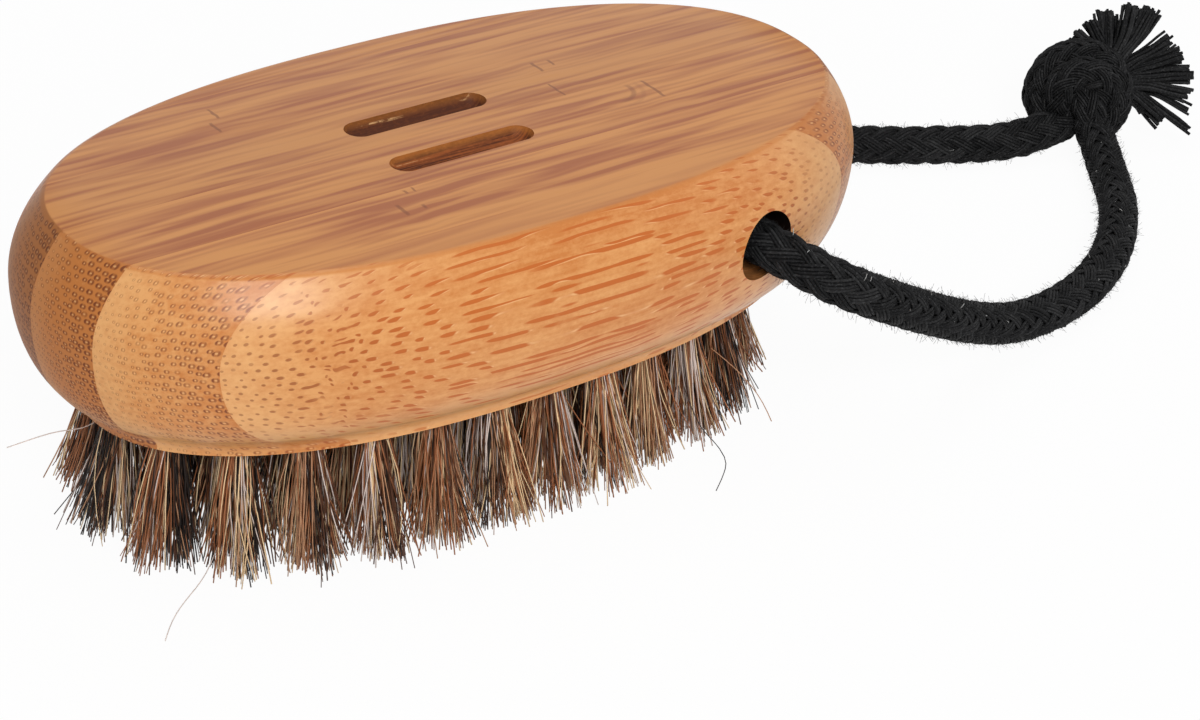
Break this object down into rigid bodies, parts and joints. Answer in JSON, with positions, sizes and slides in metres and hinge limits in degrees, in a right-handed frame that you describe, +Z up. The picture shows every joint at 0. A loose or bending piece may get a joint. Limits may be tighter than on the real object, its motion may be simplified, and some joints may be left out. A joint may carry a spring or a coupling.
{
  "type": "nail brush",
  "caption": "Oval nail brush: laminated bamboo block with grip grooves, dark horsehair bristles in rings and a hanging loop of knotted black cord through a cross bore.",
  "frame": {"origin": "on the table, under the middle of the block; the bristle tips stand on z = 0", "axes": "+X along the block towards the end with the cord bore and its loop, +Y across the block away from the side that the picture shows, +Z up from the bristle tips to the flat top"},
  "size_m": [0.1777, 0.0672, 0.0361],
  "materials": {
    "bamboo": "oiled and sanded, satin on the sides, matte on the top",
    "horsehair": "mixed black, brown and fair hairs, soft sheen",
    "cotton_cord": "matte braided cotton"
  },
  "bodies": {
    "brush": {"bamboo_lamella_1": "bamboo", "bamboo_lamella_2": "bamboo", "bamboo_lamella_3": "bamboo", "bamboo_lamella_4": "bamboo", "bamboo_lamella_5": "bamboo", "bamboo_lamella_6": "bamboo", "outer_tuft_ring": "horsehair", "middle_tuft_ring": "horsehair", "inner_tuft_ring": "horsehair", "centre_tuft_row": "horsehair"},
    "cord_loop": {"cord_in_bore": "cotton_cord", "cord_near_side": "cotton_cord", "cord_far_side": "cotton_cord", "cord_knot": "cotton_cord", "cord_tassel": "cotton_cord"}
  },
  "joints": [
    {"name": "loop_swing", "type": "hinge", "parent": "brush", "child": "cord_loop", "pos_m": [0.0243, 0, 0.0263], "axis": [0, -1, 0], "range_deg": [-50, 100]}
  ]
}
